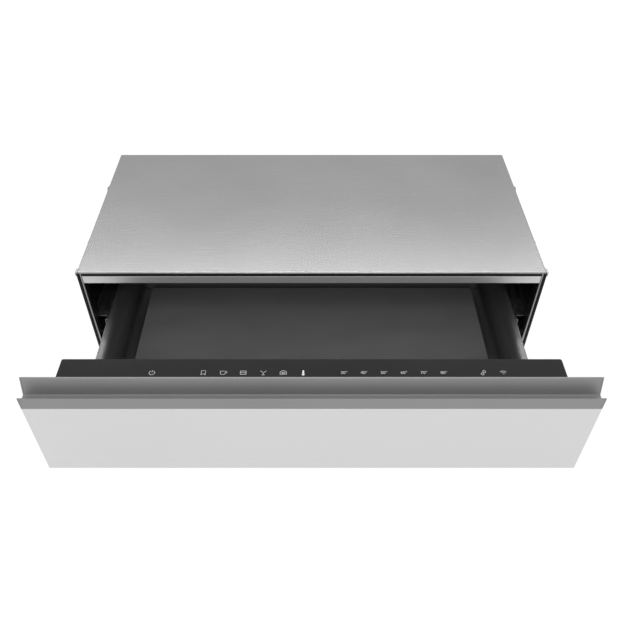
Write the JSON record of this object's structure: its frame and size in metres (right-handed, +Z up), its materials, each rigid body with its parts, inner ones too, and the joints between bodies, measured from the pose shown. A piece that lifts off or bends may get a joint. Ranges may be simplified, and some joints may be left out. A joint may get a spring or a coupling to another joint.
{
  "type": "warming drawer",
  "caption": "Built-in kitchen warming drawer: low steel casing, full-width front with a finger groove, touch strip and heated tray on ball runners.",
  "frame": {"origin": "on the casing's base plane, in the middle of the mouth's front plane", "axes": "+Z up, -Y towards the user, +X to the user's right"},
  "size_m": [0.59, 0.5098, 0.14],
  "materials": {
    "casing_steel": "satin",
    "frame_metal": "satin",
    "seal_rubber": "matt",
    "zinc_steel": "zinc plated",
    "tray_steel": "satin",
    "floor_glass": "smooth, dark",
    "control_glass": "smooth, dark",
    "face_glass": "silver back coat",
    "profile_metal": "anodised, fine brushed",
    "housing_steel": "matt black",
    "mineral_wool": "pressed wool",
    "heater_tube": "oxidised",
    "sensor_metal": "satin",
    "board": "solder mask",
    "spring_brass": "plain",
    "black_plastic": "moulded",
    "terminal_plastic": "moulded",
    "motor_metal": "satin black"
  },
  "bodies": {
    "casing": {"base_plate": "casing_steel", "side_wall_left": "casing_steel", "side_wall_right": "casing_steel", "rear_panel": "casing_steel", "lid": "casing_steel", "lid_screws": "zinc_steel", "lid_clips": "zinc_steel", "mouth_seal": "seal_rubber", "mouth_bar": "frame_metal", "mouth_flange_left": "frame_metal", "mouth_flange_right": "frame_metal", "mouth_sill": "frame_metal", "runner_carrier_left": "zinc_steel", "runner_carrier_right": "zinc_steel", "runner_outer_left": "zinc_steel", "runner_outer_right": "zinc_steel", "service_cover": "casing_steel", "vent_plate": "casing_steel", "service_screws": "zinc_steel", "fan_duct": "black_plastic", "fan_motor": "motor_metal", "ring_heater": "heater_tube", "fan_grille": "casing_steel", "terminal_block": "terminal_plastic", "power_board": "board", "cable_gland": "black_plastic", "stop_buffers": "seal_rubber"},
    "drawer": {"runner_inner_left": "zinc_steel", "runner_inner_right": "zinc_steel", "drawer_bracket_left": "zinc_steel", "drawer_bracket_right": "zinc_steel", "tray": "tray_steel", "glass_floor": "floor_glass", "floor_heater": "heater_tube", "floor_insulation": "mineral_wool", "bottom_pan": "zinc_steel", "temperature_sensor": "sensor_metal", "cheek_bracket_left": "zinc_steel", "cheek_bracket_right": "zinc_steel", "front_screws": "zinc_steel", "back_pan": "housing_steel", "front_insulation": "mineral_wool", "face_panel": "face_glass", "grip_profile": "profile_metal", "end_caps": "profile_metal", "control_housing": "housing_steel", "control_glass": "control_glass", "control_board": "board", "touch_springs": "spring_brass"},
    "middle_left": {"runner_mid_left": "zinc_steel"},
    "middle_right": {"runner_mid_right": "zinc_steel"},
    "cage_out_left": {"outer_cage_left": "zinc_steel"},
    "cage_out_right": {"outer_cage_right": "zinc_steel"},
    "cage_in_left": {"inner_cage_left": "zinc_steel"},
    "cage_in_right": {"inner_cage_right": "zinc_steel"},
    "fan": {"fan_wheel": "black_plastic"}
  },
  "joints": [
    {"name": "drawer_slide", "type": "slide", "parent": "casing", "child": "drawer", "axis": [0, -1, 0], "range_m": [-0.153, 0.087]},
    {"name": "middle_left_slide", "type": "slide", "parent": "casing", "child": "middle_left", "axis": [0, -1, 0], "range_m": [-0.0765, 0.0435]},
    {"name": "middle_right_slide", "type": "slide", "parent": "casing", "child": "middle_right", "axis": [0, -1, 0], "range_m": [-0.0765, 0.0435]},
    {"name": "cage_out_left_slide", "type": "slide", "parent": "casing", "child": "cage_out_left", "axis": [0, -1, 0], "range_m": [-0.03825, 0.02175]},
    {"name": "cage_out_right_slide", "type": "slide", "parent": "casing", "child": "cage_out_right", "axis": [0, -1, 0], "range_m": [-0.03825, 0.02175]},
    {"name": "cage_in_left_slide", "type": "slide", "parent": "casing", "child": "cage_in_left", "axis": [0, -1, 0], "range_m": [-0.11475, 0.06525]},
    {"name": "cage_in_right_slide", "type": "slide", "parent": "casing", "child": "cage_in_right", "axis": [0, -1, 0], "range_m": [-0.11475, 0.06525]},
    {"name": "fan_spin", "type": "hinge", "parent": "casing", "child": "fan", "pos_m": [0, 0.282, 0.051], "axis": [0, 1, 0], "continuous": true}
  ],
  "couplings": [
    {"joint": "middle_left_slide", "follows": "drawer_slide", "ratio": 0.5},
    {"joint": "middle_right_slide", "follows": "drawer_slide", "ratio": 0.5},
    {"joint": "cage_out_left_slide", "follows": "drawer_slide", "ratio": 0.25},
    {"joint": "cage_out_right_slide", "follows": "drawer_slide", "ratio": 0.25},
    {"joint": "cage_in_left_slide", "follows": "drawer_slide", "ratio": 0.75},
    {"joint": "cage_in_right_slide", "follows": "drawer_slide", "ratio": 0.75}
  ]
}
